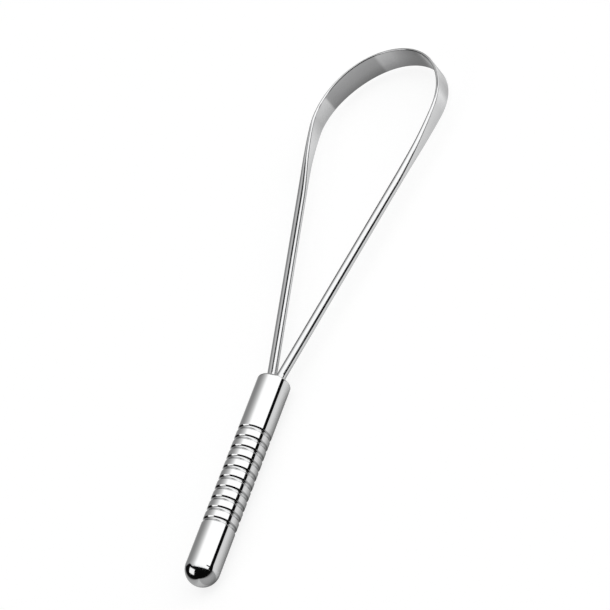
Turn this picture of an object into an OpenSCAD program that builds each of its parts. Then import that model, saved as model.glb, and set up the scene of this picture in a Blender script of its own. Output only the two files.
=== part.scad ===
// Tongue scraper: a turned steel bar for a handle, and one bent wire whose middle is rolled flat to a blade.
// It lies on a table. X runs along it towards the blade, Y across the loop, Z up.
// The origin is under the middle of the whole length, on the table.

/* [Handle] */
// Diameter of the handle bar
handle_d = 8; // [6.6:0.1:12]
// Length of the handle from its domed end to its mouth
handle_l = 54; // [46:0.5:80]
// Radius that rounds the edge of the mouth
rim_r = 0.5; // [0.2:0.1:1]

/* [Grip grooves] */
// Number of grooves turned in the handle
groove_n = 10; // [1:1:12]
// Distance from one groove to the next
groove_pitch = 2.7; // [1.6:0.1:3.4]
// Width of a groove where it meets the bar's surface
groove_w = 1.2; // [0.6:0.1:1.4]
// Depth of a groove
groove_depth = 0.3; // [0.1:0.05:0.4]
// Distance from the mouth to the first groove
groove_start = 14.2; // [13.5:0.1:18]

/* [Scraping loop] */
// Diameter of the round wire
wire_d = 2.3; // [1.8:0.1:2.6]
// Distance from the handle's mouth to the middle of the wire at the loop's tip
loop_l = 98.2; // [80:0.1:120]
// Radius of the bow, to the middle of the wire
bow_r = 18.5; // [15:0.1:24]
// Angle of the bow from its tip to where its sides start to straighten
bow_angle = 96.7; // [90:0.1:99]
// Radius of the wide arc that eases the bow into each straight leg
ease_r = 120; // [60:1:140]
// Radius of the small bend where each leg leaves the handle
bend_r = 9; // [6:0.5:14]
// Straight length of wire between the mouth and that bend
bend_start = 0.2; // [0.1:0.1:2]

/* [Blade] */
// Width of the blade at the loop's tip
blade_w = 6.4; // [4:0.1:8]
// Length of wire, each side of the tip, that keeps the full width
blade_flat = 5.5; // [2:0.5:15]
// Length of wire from the tip to where it is round again
blade_run = 54; // [48:0.5:70]

/* [Brazed joint] */
// Depth to which the two wire ends go into the handle
tang_l = 12; // [6:0.5:13]
// Gap between the two wire ends
tang_gap = 0.35; // [0.05:0.05:0.5]
// Gap round the wire ends that the braze fills
braze_gap = 0.15; // [0.05:0.05:0.3]
// Depth of the braze's surface below the mouth
braze_sink = 0.2; // [0.1:0.05:0.5]

/* [Hidden] */
$fn = 96;

// Overrun of every cut past the face that it cuts
cut_over = 1;
// Whole drill point angle
drill_angle = 118;
// A rolled or bent stretch of the wire is this share of its size, so that its ends lie inside the straight runs
worked_share = 0.995;
// How far those ends reach into the straight runs
worked_lap = 1;
// Points round the rolled wire's section, and distance from one section to the next
ring_n = 20;
ring_step = 1.2;

handle_r = handle_d / 2;
wire_r = wire_d / 2;
tang_y = (wire_d + tang_gap) / 2;
socket_r = wire_d + tang_gap / 2 + braze_gap;
socket_point = socket_r / tan(drill_angle / 2);

// The groove's section is an arc through both its edges and its floor
groove_r = (groove_w * groove_w / 4 + groove_depth * groove_depth) / (2 * groove_depth);

// The loop is worked out in its own plane: u along it from the mouth, v across it.
// Centres of the bow, of the easing arc and of the bend at the mouth, all on the v > 0 side
bow_u = loop_l - bow_r;
ease_u = bow_u + (bow_r - ease_r) * cos(bow_angle);
ease_v = (bow_r - ease_r) * sin(bow_angle);
bend_v = tang_y + bend_r;
// A leg is the line that touches the bend on one side and the easing arc on the other
centres_l = norm([ease_u - bend_start, ease_v - bend_v]);
leg_angle = atan2(ease_v - bend_v, ease_u - bend_start) + asin((ease_r + bend_r) / centres_l);
leg_top = [ease_u - ease_r * sin(leg_angle), ease_v + ease_r * cos(leg_angle)];
leg_foot = [bend_start + bend_r * sin(leg_angle), bend_v - bend_r * cos(leg_angle)];
leg_l = norm(leg_top - leg_foot);

// Lengths along the wire from its tip to the end of the bow and to the end of the easing arc
half_turn = 180;
bow_end = bow_r * bow_angle * PI / half_turn;
ease_end = bow_end + ease_r * (90 + leg_angle - bow_angle) * PI / half_turn;

// Whole length, from the dome to the blade's outer face
tip_t = worked_share * flat_t(blade_w);
total_l = handle_l + loop_l + tip_t / 2;
mouth_x = handle_l - total_l / 2;

// Direction angle of the outward normal at a distance s along the wire from the tip
function turn(s) =
    s < bow_end ? s / bow_r * half_turn / PI :
    s < ease_end ? bow_angle + (s - bow_end) / ease_r * half_turn / PI :
    90 + leg_angle;

// Outward normal there
function outward(s) = [cos(turn(s)), sin(turn(s))];

// Middle of the wire there
function middle(s) =
    s < bow_end ? [bow_u, 0] + bow_r * outward(s) :
    s < ease_end ? [ease_u, ease_v] + ease_r * outward(s) :
    leg_top - (s - ease_end) * [cos(leg_angle), sin(leg_angle)];

// Share of full flattening there: one along the blade, none where the wire is round again
function flattening(s) =
    (1 + cos(half_turn * min(1, max(0, (s - blade_flat) / (blade_run - blade_flat))))) / 2;

function flat_w(s) = wire_d + (blade_w - wire_d) * flattening(s);

// Thickness of a flat with round edges that has the same area as the round wire
function flat_t(w) = (w - sqrt(w * w - (4 - PI) * PI * wire_d * wire_d / 4)) / (2 - PI / 2);

// One section of the rolled wire, as points in space: side is 1 or -1 for the two halves
function ring(s, side) =
    let (w = flat_w(s) * worked_share)
    let (t = flat_t(flat_w(s)) * worked_share)
    let (straight = max(0, w - t) / 2)
    [for (k = [0 : ring_n - 1])
        let (a = 360 * (k + 1 / 2) / ring_n)
        let (across = t / 2 * cos(a))
        let (up = t / 2 * sin(a) + sign(sin(a)) * straight)
        let (p = middle(s) + across * outward(s))
        [p[0], side * p[1], up]];

module rolled_wire() {
    end = blade_run + worked_lap;
    half_n = ceil(end / ring_step);
    rings = [for (i = [-half_n : half_n]) ring(abs(i) * end / half_n, i < 0 ? -1 : 1)];
    last = len(rings) - 1;
    points = [for (r = rings) each r];
    walls = [for (i = [0 : last - 1], k = [0 : ring_n - 1])
        let (a = i * ring_n + k)
        let (b = i * ring_n + (k + 1) % ring_n)
        each [[a, b, b + ring_n], [a, b + ring_n, a + ring_n]]];
    caps = [
        [for (k = [ring_n - 1 : -1 : 0]) k],
        [for (k = [0 : ring_n - 1]) last * ring_n + k]
    ];
    polyhedron(points = points, faces = concat(walls, caps));
}

// One round leg, from the flat's end through the small bend to the end of its tang
module round_leg() {
    round_l = leg_l - (blade_run - ease_end);
    lap_angle = worked_lap / bend_r * half_turn / PI / 4;
    translate([leg_foot[0], leg_foot[1], 0])
        rotate([0, 90, leg_angle])
            cylinder(r = wire_r, h = round_l);
    translate([bend_start, bend_v, 0])
        rotate([0, 0, -90 - lap_angle])
            rotate_extrude(angle = leg_angle + 2 * lap_angle)
                translate([bend_r, 0])
                    circle(r = wire_r * worked_share);
    translate([-tang_l, tang_y, 0])
        rotate([0, 90, 0])
            cylinder(r = wire_r, h = tang_l + bend_start);
}

module at_mouth() {
    translate([mouth_x, 0, handle_r])
        children();
}

module scraper_loop() {
    color("gainsboro")
        at_mouth() {
            rolled_wire();
            round_leg();
            mirror([0, 1, 0])
                round_leg();
        }
}

// Blind drilled hole, open past the mouth by the given length
module socket(over) {
    rotate([0, -90, 0]) {
        translate([0, 0, -over])
            cylinder(r = socket_r, h = tang_l + over);
        translate([0, 0, tang_l])
            cylinder(r1 = socket_r, r2 = 0, h = socket_point);
    }
}

module handle_bar() {
    bar_l = handle_l - handle_r;
    rotate([0, -90, 0]) {
        translate([0, 0, rim_r])
            cylinder(r = handle_r, h = bar_l - rim_r);
        cylinder(r = handle_r - rim_r, h = bar_l);
        translate([0, 0, rim_r])
            rotate_extrude()
                translate([handle_r - rim_r, 0])
                    circle(r = rim_r);
        translate([0, 0, bar_l])
            sphere(r = handle_r);
    }
}

module grip_grooves() {
    for (i = [0 : groove_n - 1])
        rotate([0, -90, 0])
            translate([0, 0, groove_start + groove_w / 2 + i * groove_pitch])
                rotate_extrude()
                    translate([handle_r - groove_depth + groove_r, 0])
                        circle(r = groove_r);
}

module handle() {
    color("silver")
        at_mouth()
            difference() {
                handle_bar();
                socket(cut_over);
                grip_grooves();
            }
}

module braze_fill() {
    color("tan")
        at_mouth()
            difference() {
                socket(0);
                translate([-braze_sink, -socket_r - cut_over, -socket_r - cut_over])
                    cube([braze_sink + cut_over, 2 * (socket_r + cut_over), 2 * (socket_r + cut_over)]);
                for (side = [-1, 1])
                    translate([-tang_l, side * tang_y, 0])
                        rotate([0, 90, 0])
                            cylinder(r = wire_r, h = tang_l + cut_over);
            }
}

handle();
scraper_loop();
braze_fill();
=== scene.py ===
import math

import bmesh
import bpy
from mathutils import Matrix, Vector
from mathutils.kdtree import KDTree

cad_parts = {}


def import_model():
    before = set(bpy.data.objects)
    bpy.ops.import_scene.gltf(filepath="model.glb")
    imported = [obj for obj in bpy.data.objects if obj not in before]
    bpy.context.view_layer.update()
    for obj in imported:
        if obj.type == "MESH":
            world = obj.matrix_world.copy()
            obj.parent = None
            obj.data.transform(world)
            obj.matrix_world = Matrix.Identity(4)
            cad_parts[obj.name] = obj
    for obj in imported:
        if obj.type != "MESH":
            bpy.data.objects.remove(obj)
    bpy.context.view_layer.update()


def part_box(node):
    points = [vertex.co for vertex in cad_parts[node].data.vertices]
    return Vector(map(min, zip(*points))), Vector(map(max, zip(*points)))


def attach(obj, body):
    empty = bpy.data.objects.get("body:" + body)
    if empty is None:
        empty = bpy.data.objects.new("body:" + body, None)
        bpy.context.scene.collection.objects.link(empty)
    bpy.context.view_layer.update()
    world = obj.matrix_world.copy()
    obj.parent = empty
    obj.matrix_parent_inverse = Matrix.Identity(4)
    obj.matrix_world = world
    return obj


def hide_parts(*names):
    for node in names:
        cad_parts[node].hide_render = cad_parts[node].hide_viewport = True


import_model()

# The handle is one length of 8 mm stainless bar, turned on a lathe and buffed to a mirror.
# It has a domed end, ten shallow arc-shaped grip grooves, and a mouth with a rounded rim.
# The socket for the wire's two ends is drilled into the mouth, and ends in the drill's cone.
MM = 0.001
handle_low, handle_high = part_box("handle")
mouth_x = handle_high.x
handle_r = (handle_high.z - handle_low.z) / 2
axis_z = (handle_high.z + handle_low.z) / 2
rim_r = 0.5 * MM
groove_n = 10
groove_pitch = 2.7 * MM
groove_w = 1.2 * MM
groove_depth = 0.3 * MM
groove_start = 14.2 * MM
groove_r = (groove_w ** 2 / 4 + groove_depth ** 2) / (2 * groove_depth)
buffed_r = 0.09 * MM
socket_r = 2.625 * MM
socket_l = 12.0 * MM
socket_edge = 0.12 * MM
drill_half_angle = math.radians(59)
# A stretch this short beside each arc keeps the shading of the straight run next to it
hold = 0.03 * MM
weld = 0.001 * MM
bar_sides = 128
dome_steps = 28
groove_steps = 12
rim_steps = 8
edge_steps = 4
bar_crease = math.radians(35)


def arc(centre_x, centre_r, radius, start, end, steps):
    """Points of an arc in the lathe's half plane, angles in degrees from +X, ends included."""
    angles = [math.radians(start + (end - start) * k / steps) for k in range(steps + 1)]
    return [(centre_x + radius * math.cos(a), centre_r + radius * math.sin(a)) for a in angles]


def groove_outline(centre_x):
    """One grip groove from its dome side to its mouth side, both edges softened by the buffing."""
    wheel_r = handle_r - groove_depth + groove_r
    edge_r = handle_r - buffed_r
    rise = wheel_r - edge_r
    reach = math.sqrt((groove_r + buffed_r) ** 2 - rise ** 2)
    lean = math.degrees(math.atan2(rise, reach))
    left, right = centre_x - reach, centre_x + reach
    return (
        [(left - hold, handle_r)]
        + arc(left, edge_r, buffed_r, 90, lean, edge_steps)
        + arc(centre_x, wheel_r, groove_r, 180 + lean, 360 - lean, groove_steps)[1:-1]
        + arc(right, edge_r, buffed_r, 180 - lean, 90, edge_steps)
        + [(right + hold, handle_r)]
    )


dome_x = handle_low.x + handle_r
outline = arc(dome_x, 0, handle_r, 180, 90, dome_steps) + [(dome_x + hold, handle_r)]
for i in reversed(range(groove_n)):
    outline += groove_outline(mouth_x - groove_start - groove_w / 2 - i * groove_pitch)
outline += [(mouth_x - rim_r - hold, handle_r)]
outline += arc(mouth_x - rim_r, handle_r - rim_r, rim_r, 90, 0, rim_steps)
outline += [(mouth_x, handle_r - rim_r - hold), (mouth_x, socket_r + socket_edge + hold)]
outline += arc(mouth_x - socket_edge, socket_r + socket_edge, socket_edge, 0, -90, edge_steps)
outline += [(mouth_x - socket_edge - hold, socket_r), (mouth_x - socket_l, socket_r)]
outline += [(mouth_x - socket_l - socket_r / math.tan(drill_half_angle), 0)]


def start_piece(name):
    """The primitive just added becomes the named piece, its place in its mesh, in edit mode."""
    piece = bpy.context.object
    piece.name = piece.data.name = name
    bpy.ops.object.transform_apply(location=True, rotation=True, scale=True)
    bpy.ops.object.mode_set(mode="EDIT")
    bpy.ops.mesh.select_mode(type="VERT")
    return piece


bpy.ops.object.select_all(action="DESELECT")
bpy.ops.mesh.primitive_plane_add(size=hold, location=(outline[0][0], 0, axis_z))
handle_bar = start_piece("handle_bar")
bpy.ops.mesh.select_all(action="SELECT")
bpy.ops.mesh.merge(type="CENTER")
for (x, r), (next_x, next_r) in zip(outline, outline[1:]):
    step = (next_x - x, 0, next_r - r)
    bpy.ops.mesh.extrude_vertices_move(TRANSFORM_OT_translate={"value": step})
bpy.ops.mesh.select_all(action="SELECT")
bpy.ops.mesh.spin(steps=bar_sides, angle=math.tau, center=(0, 0, axis_z), axis=(1, 0, 0))
bpy.ops.mesh.select_all(action="SELECT")
bpy.ops.mesh.remove_doubles(threshold=weld)
bpy.ops.mesh.normals_make_consistent(inside=False)
bpy.ops.object.mode_set(mode="OBJECT")
bpy.ops.object.shade_smooth_by_angle(angle=bar_crease)


class Nodes:
    """One node tree: node() adds a node of any type, its settings first and then its sockets."""

    def __init__(self, owner):
        owner.use_nodes = True
        self.tree = owner.node_tree
        self.tree.nodes.clear()

    def node(self, kind, settings=None, sockets=None):
        made = self.tree.nodes.new("ShaderNode" + kind)
        for name, value in (settings or {}).items():
            if name == "stops":
                self.set_stops(made.color_ramp.elements, value)
            else:
                setattr(made, name, value)
        for name, value in (sockets or {}).items():
            self.feed(made.inputs[name], value)
        return made

    def set_stops(self, elements, stops):
        """Gives a ramp its (place, grey) stops."""
        while len(elements) > 1:
            elements.remove(elements[-1])
        for k, (place, grey) in enumerate(stops):
            stop = elements[0] if k == 0 else elements.new(place)
            stop.position = place
            stop.color = (grey, grey, grey, 1)

    def feed(self, socket, value):
        if isinstance(value, Value):
            value = value.socket
        if isinstance(value, bpy.types.NodeSocket):
            self.tree.links.new(value, socket)
        else:
            socket.default_value = value

    def value(self, kind, settings=None, sockets=None, output=0):
        return Value(self, self.node(kind, settings, sockets).outputs[output])

    def parts(self, vector):
        """A vector's x, y and z."""
        separate = self.node("SeparateXYZ", None, {"Vector": vector})
        return [Value(self, part) for part in separate.outputs]

    def mix_colour(self, factor, a, b):
        return self.node("Mix", {"data_type": "RGBA"}, {"Factor": factor, 6: a, 7: b}).outputs[2]

    def mix_shader(self, factor, a, b):
        sockets = {0: factor, 1: a.outputs[0], 2: b.outputs[0]}
        return self.node("MixShader", None, sockets)


class Value:
    """A number that varies over a surface: arithmetic on it adds Math nodes."""

    def __init__(self, nodes, socket):
        self.nodes, self.socket = nodes, socket

    def math(self, operation, *others, swapped=False):
        terms = [self, *others]
        if swapped:
            terms.reverse()
        return self.nodes.value("Math", {"operation": operation}, dict(enumerate(terms)))

    def __add__(self, other):
        return self.math("ADD", other)

    __radd__ = __add__

    def __mul__(self, other):
        return self.math("MULTIPLY", other)

    __rmul__ = __mul__

    def __sub__(self, other):
        return self.math("SUBTRACT", other)

    def __rsub__(self, other):
        return self.math("SUBTRACT", other, swapped=True)

    def __truediv__(self, other):
        return self.math("DIVIDE", other)

    def root(self):
        return self.math("SQRT")

    def rise(self, low, high):
        """0 below low, 1 above high, and smooth between them; high may be the lower one."""
        if high < low:
            return 1 - self.rise(high, low)
        settings = {"interpolation_type": "SMOOTHSTEP"}
        sockets = {"Value": self, "From Min": low, "From Max": high}
        return self.nodes.value("MapRange", settings, sockets)


def start_material(name):
    """A new metal, its tree, and the place on the object in metres."""
    material = bpy.data.materials.new(name)
    nodes = Nodes(material)
    return material, nodes, nodes.node("TexCoord").outputs["Object"]


def streaks(nodes, place, scale, detail=2.0):
    """Noise from about 0.2 to 0.8, with so many spots per metre along each axis."""
    stretched = nodes.node("Mapping", None, {"Vector": place, "Scale": scale}).outputs[0]
    sockets = {"Vector": stretched, "Scale": 1.0, "Detail": detail, "Roughness": 0.55}
    return nodes.value("TexNoise", None, sockets)


def metal(nodes, colour, roughness, height, bump_distance, bump_strength):
    """The metal's shader and its output, from what varies over it."""
    relief = {"Height": height, "Distance": bump_distance, "Strength": bump_strength}
    bump = nodes.node("Bump", None, relief)
    sockets = {"Base Color": colour, "Roughness": roughness, "Metallic": 1.0,
               "Normal": bump.outputs[0]}
    shader = nodes.node("BsdfPrincipled", None, sockets)
    nodes.node("OutputMaterial", None, {"Surface": shader.outputs[0]})


bar_steel = (0.905, 0.908, 0.91, 1)
groove_steel = (0.74, 0.745, 0.75, 1)
# The floor of a groove is duller, from the first of these depths to the second
dulling_starts = 0.04 * MM
dulling_full = 0.22 * MM
groove_dulling = 0.6
groove_roughness = 0.07
mirror_roughness = 0.035
bar_smear_scale = (90, 420, 420)
bar_smear_range = (0.45, 0.75)
bar_smear_dulling = 0.12
bar_smear_roughness = 0.03
lathe_line_scale = (9000, 160, 160)
lathe_line_depth = 0.0006 * MM
lathe_line_strength = 0.5

polished_bar, bar, place = start_material("polished_bar")
_, y, z = bar.parts(place)
from_axis = (y * y + (z - axis_z) * (z - axis_z)).root()
in_groove = from_axis.rise(handle_r - dulling_starts, handle_r - dulling_full)
lathe_lines = streaks(bar, place, lathe_line_scale, detail=3)
smears = streaks(bar, place, bar_smear_scale)
dulling = in_groove * groove_dulling + smears * bar_smear_dulling
bar_roughness = (mirror_roughness + smears.rise(*bar_smear_range) * bar_smear_roughness
                 + in_groove * groove_roughness)
metal(bar, bar.mix_colour(dulling, bar_steel, groove_steel), bar_roughness,
      lathe_lines, lathe_line_depth, lathe_line_strength)
handle_bar.data.materials.append(polished_bar)
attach(handle_bar, "root")
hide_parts("handle")

# The scraper is one length of 2.3 mm stainless wire. Its middle is rolled flat to a blade with
# half-round edges, and it is then bent round a former to a drop shape and polished.
# Its two ends run side by side into the handle's socket.
wire_r = 1.15 * MM
tang_y = 1.325 * MM
tang_l = 12.0 * MM
loop_l = 98.2 * MM
bow_r = 18.5 * MM
bow_angle = math.radians(96.7)
ease_r = 120.0 * MM
bend_r = 9.0 * MM
bend_start = 0.2 * MM
blade_w = 6.4 * MM
blade_flat = 5.5 * MM
blade_run = 54.0 * MM
# Shares of the blade's width and thickness that keep its fine facets inside the CAD's box
rolled_w_share = 0.995
rolled_t_share = 0.94
wire_sides = 40
tang_rings = 2
bend_rings = 9
round_rings = 3
leg_rings = 9
ease_rings = 18
bow_rings = 96
wire_crease = math.radians(50)

bow_u = loop_l - bow_r
ease_u = bow_u + (bow_r - ease_r) * math.cos(bow_angle)
ease_v = (bow_r - ease_r) * math.sin(bow_angle)
bend_v = tang_y + bend_r
leg_angle = math.atan2(ease_v - bend_v, ease_u - bend_start)
leg_angle += math.asin((ease_r + bend_r) / math.hypot(ease_u - bend_start, ease_v - bend_v))
leg_top = Vector((ease_u - ease_r * math.sin(leg_angle), ease_v + ease_r * math.cos(leg_angle)))
leg_foot = Vector((bend_start + bend_r * math.sin(leg_angle),
                   bend_v - bend_r * math.cos(leg_angle)))
leg_l = (leg_top - leg_foot).length
ease_angle = math.pi / 2 + leg_angle - bow_angle
bow_end = bow_r * bow_angle
ease_end = bow_end + ease_r * ease_angle
round_l = leg_l - (blade_run - ease_end)
rolled_leg_l = leg_l - round_l
round_end = blade_run + round_l


def blade_section(s):
    """Width and thickness of the wire at a distance s along it from the tip.
    It is full width on the blade, and the section's area is kept until it is round again."""
    share = min(1, max(0, (abs(s) - blade_flat) / (blade_run - blade_flat)))
    flattening = (1 + math.cos(math.pi * share)) / 2
    w = 2 * wire_r + (blade_w - 2 * wire_r) * flattening
    t = (w - math.sqrt(w * w - (4 - math.pi) * math.pi * wire_r ** 2)) / (2 - math.pi / 2)
    w_share = 1 - (1 - rolled_w_share) * flattening
    t_share = 1 - (1 - rolled_t_share) * flattening
    return w * w_share, t * t_share


rings = []


def push(distance, heading, steps, s):
    """Extrudes the wire's open end straight on, and notes the new rings."""
    step = Vector((math.cos(heading), math.sin(heading), 0)) * distance / steps
    for k in range(steps):
        bpy.ops.mesh.extrude_region_move(TRANSFORM_OT_translate={"value": step})
        rings.append((rings[-1][0] + step, s + distance * (k + 1) / steps))


def bend(centre, angle, steps, s):
    """Spins the wire's open end round a former at centre, and notes the new rings."""
    bpy.ops.mesh.spin(steps=steps, angle=angle, center=centre, axis=(0, 0, -1))
    start = rings[-1][0]
    arm = (start - centre).length
    for k in range(1, steps + 1):
        turned = Matrix.Rotation(angle * k / steps, 3, "Z") @ (start - centre)
        rings.append((centre + turned, s + arm * abs(angle) * k / steps))


def spot(u, v):
    """A point of the loop's plane: u from the mouth, v across it."""
    return Vector((mouth_x + u, v, axis_z))


def only_select(chosen):
    """In edit mode, selects the vertices that pass the test and nothing else."""
    edit = bmesh.from_edit_mesh(bpy.context.object.data)
    bpy.ops.mesh.select_all(action="DESELECT")
    for vertex in edit.verts:
        vertex.select = chosen(vertex)
    edit.select_flush_mode()
    bmesh.update_edit_mesh(bpy.context.object.data)


tang_end = spot(-tang_l, -tang_y)
bpy.ops.object.select_all(action="DESELECT")
bpy.ops.mesh.primitive_circle_add(vertices=wire_sides, radius=wire_r, fill_type="NGON",
                                  location=tang_end, rotation=(0, math.pi / 2, 0))
wire_loop = start_piece("wire_loop")
bpy.ops.mesh.select_all(action="SELECT")
half_side = math.pi / wire_sides
bpy.ops.transform.rotate(value=half_side, orient_axis="X", center_override=tang_end)
rings.append((tang_end, -round_end - tang_l))
push(tang_l + bend_start, 0, tang_rings, -round_end - tang_l)
bend(spot(bend_start, -bend_v), -leg_angle, bend_rings, -round_end)
push(round_l, -leg_angle, round_rings, -round_end)
push(rolled_leg_l, -leg_angle, leg_rings, -blade_run)
bend(spot(ease_u, -ease_v), ease_angle, ease_rings, -ease_end)
bend(spot(bow_u, 0), 2 * bow_angle, bow_rings, -bow_end)
bend(spot(ease_u, ease_v), ease_angle, ease_rings, bow_end)
push(rolled_leg_l, math.pi + leg_angle, leg_rings, ease_end)
push(round_l, math.pi + leg_angle, round_rings, blade_run)
bend(spot(bend_start, bend_v), -leg_angle, bend_rings, round_end)
push(tang_l + bend_start, math.pi, tang_rings, round_end)

tree = KDTree(len(rings))
for k, (centre, s) in enumerate(rings):
    tree.insert(centre, k)
tree.balance()
members = [set() for ring in rings]
for vertex in bmesh.from_edit_mesh(wire_loop.data).verts:
    members[tree.find(vertex.co)[1]].add(vertex.index)

for ring, (centre, s) in zip(members, rings):
    if abs(s) >= blade_run - hold:
        continue
    w, t = blade_section(s)
    only_select(lambda vertex: vertex.index in ring)
    bpy.ops.transform.resize(value=(t / (2 * wire_r),) * 3, center_override=centre)
    only_select(lambda vertex: vertex.index in ring and vertex.co.z > axis_z)
    bpy.ops.transform.translate(value=(0, 0, (w - t) / 2))
    only_select(lambda vertex: vertex.index in ring and vertex.co.z < axis_z)
    bpy.ops.transform.translate(value=(0, 0, (t - w) / 2))

bpy.ops.mesh.select_all(action="SELECT")
bpy.ops.mesh.normals_make_consistent(inside=False)
bpy.ops.object.mode_set(mode="OBJECT")
bpy.ops.object.shade_smooth_by_angle(angle=wire_crease)
bpy.ops.object.modifier_add(type="WEIGHTED_NORMAL")
wire_loop.modifiers[-1].keep_sharp = True
bpy.ops.object.modifier_apply(modifier=wire_loop.modifiers[-1].name)

wire_steel = (0.87, 0.873, 0.878, 1)
smeared_steel = (0.80, 0.803, 0.81, 1)
wire_polish_roughness = 0.07
wire_smear_scale = (150, 150, 500)
wire_dulling_range = (0.3, 0.8)
wire_dulling = 0.5
wire_smear_range = (0.45, 0.8)
wire_smear_roughness = 0.04
drawn_line_scale = (140, 140, 16000)
drawn_line_range = (0.35, 0.75)
drawn_line_roughness = 0.05
drawn_line_share = 0.25
ripple_scale = (260, 260, 420)
ripple_depth = 0.004 * MM
ripple_strength = 0.4

polished_wire, wire, place = start_material("polished_wire")
drawn_lines = streaks(wire, place, drawn_line_scale, detail=3)
ripple = streaks(wire, place, ripple_scale)
smears = streaks(wire, place, wire_smear_scale)
dulling = smears.rise(*wire_dulling_range) * wire_dulling
wire_roughness = (wire_polish_roughness
                  + drawn_lines.rise(*drawn_line_range) * drawn_line_roughness
                  + smears.rise(*wire_smear_range) * wire_smear_roughness)
metal(wire, wire.mix_colour(dulling, wire_steel, smeared_steel), wire_roughness,
      drawn_lines * drawn_line_share + ripple, ripple_depth, ripple_strength)
wire_loop.data.materials.append(polished_wire)
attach(wire_loop, "root")
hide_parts("scraper_loop")

# Silver braze holds the wire's ends in the socket. It was run in hot and drawn up by the metal,
# so its surface is a little below the mouth and climbs each wall as a small curve.
braze_sink = 0.2 * MM
braze_climb = 0.13 * MM
braze_reach = 0.35 * MM
braze_clearance = 0.01 * MM
wall_zone = 0.06 * MM
plug_sides = 96
plug_rings = 26
plug_l = socket_l - braze_sink
plug_middle = spot(-braze_sink - plug_l / 2, 0)
braze_crease = math.radians(40)

bpy.ops.object.select_all(action="DESELECT")
bpy.ops.mesh.primitive_cylinder_add(vertices=plug_sides, radius=socket_r - braze_clearance,
                                    depth=plug_l, end_fill_type="NGON",
                                    location=plug_middle, rotation=(0, math.pi / 2, 0))
braze = start_piece("braze")
only_select(lambda vertex: vertex.co.x > plug_middle.x)
bpy.ops.mesh.select_mode(type="FACE")
for k in range(plug_rings):
    bpy.ops.mesh.inset(thickness=(socket_r - hold) / (plug_rings + 1))
bpy.ops.mesh.select_mode(type="VERT")
wire_middles = [Vector((axis_z, side * tang_y)) for side in (-1, 1)]


def near_a_wall(vertex):
    """True on the braze's surface where it meets the socket's wall or one of the two wires."""
    x, y, z = vertex.co
    gaps = [(Vector((z, y)) - middle).length - wire_r for middle in wire_middles]
    gaps.append(socket_r - math.hypot(y, z - axis_z))
    return x > plug_middle.x and min(gaps) < wall_zone


only_select(near_a_wall)
bpy.ops.transform.translate(value=(braze_climb, 0, 0), use_proportional_edit=True,
                            proportional_edit_falloff="SHARP", proportional_size=braze_reach)
bpy.ops.object.mode_set(mode="OBJECT")
for middle in wire_middles:
    bpy.ops.object.select_all(action="DESELECT")
    bpy.ops.mesh.primitive_cylinder_add(vertices=plug_sides, radius=wire_r, depth=2 * socket_l,
                                        location=(plug_middle.x, middle.y, axis_z),
                                        rotation=(0, math.pi / 2, 0))
    cutter = bpy.context.object
    bpy.context.view_layer.objects.active = braze
    bore = braze.modifiers.new("bore", "BOOLEAN")
    bore.operation = "DIFFERENCE"
    bore.solver = "EXACT"
    bore.object = cutter
    bpy.ops.object.modifier_apply(modifier=bore.name)
    bpy.data.objects.remove(cutter)
bpy.ops.object.select_all(action="DESELECT")
braze.select_set(True)
bpy.ops.object.shade_smooth_by_angle(angle=braze_crease)

alloy_yellow = (0.78, 0.73, 0.60, 1)
flux_brown = (0.50, 0.44, 0.34, 1)
alloy_roughness = 0.26
flux_scale = (1300, 1300, 1300)
flux_range = (0.45, 0.7)
flux_roughness = 0.2
grain_scale = (5200, 5200, 5200)
grain_roughness = 0.14
grain_depth = 0.01 * MM
grain_strength = 0.5

silver_braze, alloy, place = start_material("silver_braze")
grain = streaks(alloy, place, grain_scale, detail=4)
flux = streaks(alloy, place, flux_scale, detail=3).rise(*flux_range)
braze_roughness = alloy_roughness + grain * grain_roughness + flux * flux_roughness
metal(alloy, alloy.mix_colour(flux, alloy_yellow, flux_brown), braze_roughness,
      grain, grain_depth, grain_strength)
braze.data.materials.append(silver_braze)
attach(braze, "root")
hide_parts("braze_fill")

# The tool lies on a plain white table. The camera sees the table's own white, with a glow that
# evens it out. The metal mirrors the studio's lower half in its place, darker where the tool
# is close to the table.
table_size = 6
table_colour = (0.82, 0.82, 0.82, 1)
table_glow_share = 0.6
table_glow_light = 1.37
shade_colour = (0.2, 0.2, 0.2, 1)
shade_reach = 12 * MM
shade_samples = 12
shade_full = 0.35
shade_ends = 1.0
white = (1, 1, 1, 1)

bpy.ops.object.select_all(action="DESELECT")
bpy.ops.mesh.primitive_plane_add(size=table_size, location=(0, 0, 0))
table = bpy.context.object
table.name = table.data.name = "table"
white_table = bpy.data.materials.new("white_table")
card = Nodes(white_table)
rays = card.node("LightPath").outputs
camera_ray = Value(card, rays["Is Camera Ray"])
card_white = card.node("BsdfDiffuse", None, {"Color": table_colour})
card_glow = card.node("Emission", None, {"Color": white, "Strength": table_glow_light})
lit = card.mix_shader(camera_ray * table_glow_share, card_white, card_glow)
clear = card.node("BsdfTransparent")
shade = card.node("BsdfTransparent", None, {"Color": shade_colour})
openness = card.value("AmbientOcclusion", {"samples": shade_samples},
                      {"Distance": shade_reach}, output=1)
mirrored = card.mix_shader(openness.rise(shade_full, shade_ends), shade, clear)
seen = card.mix_shader(rays["Is Glossy Ray"], lit, mirrored)
card.node("OutputMaterial", None, {"Surface": seen.outputs[0]})
table.data.materials.append(white_table)

# The studio is bright overhead and on the near side, where one wide soft box hangs, and grey on
# the far side. Black flags stand beside the box. The end past the blade has its own patches of
# light, and the end past the dome is dark but for one small window.
soft_box_light = 1.12
window_light = 1.12
black = 0.003
panel_blur = 0.012
near_flag_blur = 0.02
horizon_blur = 0.02
blade_end_starts = (0.49, 0.53)
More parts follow.
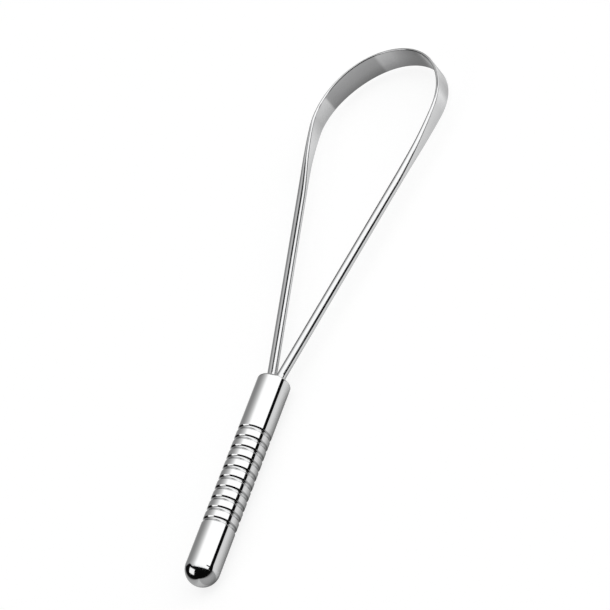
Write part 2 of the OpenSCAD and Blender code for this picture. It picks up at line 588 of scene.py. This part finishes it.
# Where the dark end past the dome starts, as a direction's x, with its blur: above the horizon,
# where it steps forward on the far side, and below the horizon, on the near side and the far one
dark_starts_high = -0.17
dark_step = 0.33
dark_step_range = (0.45, 0.85)
dark_blur_high = 0.015
dark_starts_near = 0.03
dark_blur_near = 0.03
dark_starts_far = 0.2
dark_blur_far = 0.2
far_side_range = (-0.3, 0.3)

studio = bpy.data.worlds.new("studio")
bpy.context.scene.world = studio
air = Nodes(studio)
toward = air.node("TexCoord").outputs["Generated"]
x, y, z = air.parts(toward)
turn = z.math("ARCTAN2", y) / math.tau
turn = turn + turn.math("LESS_THAN", 0)


def blend(share, low, high):
    """low where the share is 0 and high where it is 1."""
    return low + share * (high - low)


def by_angle(stops):
    """The brightness from (degrees, brightness) stops, by the angle round the tool's length:
    0 is level on the far side, 90 overhead, 180 level on the near side and 270 underneath."""
    ramp = [(angle / 360, grey) for angle, grey in stops]
    return air.value("ValToRGB", {"stops": ramp}, {"Fac": turn})


def before(start, blur):
    """1 where a direction's x is less than start, and 0 where it is more, with a blur between."""
    return (start - x).rise(-blur, blur)


def around(angle, distance):
    """A direction by its angle round the tool's length and its angle from +X, in degrees."""
    a, d = math.radians(angle), math.radians(distance)
    return Vector((math.cos(d), math.sin(d) * math.cos(a), math.sin(d) * math.sin(a)))


def lay(glow, brightness, corners, blur=panel_blur):
    """Lays a panel of this brightness over the glow, its corners given as around() takes them.
    The corners of a panel run anticlockwise as the tool sees it, and none of them is hollow."""
    directions = [around(*corner) for corner in corners]
    inside = 1
    for a, b in zip(directions, directions[1:] + directions[:1]):
        edge = {0: toward, 1: a.cross(b).normalized()}
        over = air.value("VectorMath", {"operation": "DOT_PRODUCT"}, edge, output=1)
        inside = over.rise(-blur, blur) * inside
    return blend(inside, glow, brightness)


side_walls = by_angle([
    (0, 0.24), (24, 0.26), (42, 0.36), (54, 0.50), (66, 0.68), (76, 0.95), (84, 1.12),
    (186, 1.12), (196, 0.66), (209, 0.74), (245, 0.73), (269, 0.87), (281, 0.93),
    (293, 0.93), (315, 0.72), (329, 0.60), (345, 0.32), (360, 0.24)])
blade_end = by_angle([
    (0, 0.01), (24, 0.10), (38, 0.38), (64, 0.60), (86, 0.34), (115, 0.30), (130, 0.60),
    (140, 1.12), (165, 1.12), (186, 0.85), (198, 0.20), (210, 0.22), (217, 0.62),
    (236, 0.95), (250, 0.72), (270, 0.70), (300, 0.95), (312, 0.60), (320, 0.02),
    (360, 0.01)])
dome_end = by_angle([
    (0, black), (193, black), (203, 0.30), (214, 0.40), (262, 0.38), (283, 0.38), (289, 0.58),
    (312, 0.56), (324, 0.44), (343, 0.40), (352, 0.20), (358, black), (360, black)])

dark_high = before(y.rise(*dark_step_range) * dark_step + dark_starts_high, dark_blur_high)
dark_near = before(dark_starts_near, dark_blur_near)
dark_far = before(dark_starts_far, dark_blur_far)
dark_low = blend(y.rise(*far_side_range), dark_near, dark_far)
past_dome = blend(z.rise(-horizon_blur, horizon_blur), dark_low, dark_high)
glow = blend(x.rise(*blade_end_starts), side_walls, blade_end)
glow = blend(past_dome, glow, dome_end)

# The soft box gives the bright side its edges: on the far wire, in the grooves and at the dome
glow = lay(glow, soft_box_light, [(161, 100), (172, 62), (178, 47), (121, 42), (79, 102)])
# A flag beyond its lower corner: the dark ends of the grooves and a thin line on the far wire
glow = lay(glow, black, [(190.5, 64), (226, 34), (188, 38), (171, 62)])
# A flag along its lower edge: the black line along the bar and the near wire
glow = lay(glow, black, [(166, 99), (196, 99), (192, 60), (172, 59)])
# A small flag above that edge: it widens the near wire's black line
glow = lay(glow, black, [(173, 85), (174, 77), (152, 77), (144, 80), (152, 84)], near_flag_blur)
# A flag beyond its upper corner: the dark line along the far wire
glow = lay(glow, black, [(92, 54), (122, 44), (122, 37), (104, 35), (86, 50)])
# The window: the white spots on the dome and in the grooves, and the bow's bright far edge
glow = lay(glow, window_light, [(48, 146), (77, 122), (42, 99), (24, 117)])
camera_ray = Value(air, air.node("LightPath").outputs["Is Camera Ray"])
strength = blend(camera_ray, glow, 1)
backdrop = air.node("Background", None, {"Color": white, "Strength": strength})
air.node("OutputWorld", None, {"Surface": backdrop.outputs[0]})

# The camera stands where the photo was taken from. Its place and its lens follow from the
# outlines of the handle, the legs and the bow in the photo.
camera_azimuth = math.radians(-39.588)
camera_elevation = math.radians(37.397)
camera_roll = math.radians(-42.379)
camera_distance = 0.602
camera_aim = Vector((-0.0003, -0.0003, axis_z))
sensor_width_mm = 36
lens_mm = 152.23

back = Vector((math.sin(camera_azimuth) * math.cos(camera_elevation),
               -math.cos(camera_azimuth) * math.cos(camera_elevation),
               math.sin(camera_elevation)))
camera_data = bpy.data.cameras.new("camera")
camera_data.sensor_width = sensor_width_mm
camera_data.lens = lens_mm
camera = bpy.data.objects.new("camera", camera_data)
bpy.context.scene.collection.objects.link(camera)
camera.location = camera_aim + camera_distance * back
level = (-back).to_track_quat("-Z", "Y").to_matrix()
camera.rotation_euler = (level @ Matrix.Rotation(camera_roll, 3, "Z")).to_euler()
bpy.context.scene.camera = camera
bpy.context.scene.view_settings.view_transform = "Standard"
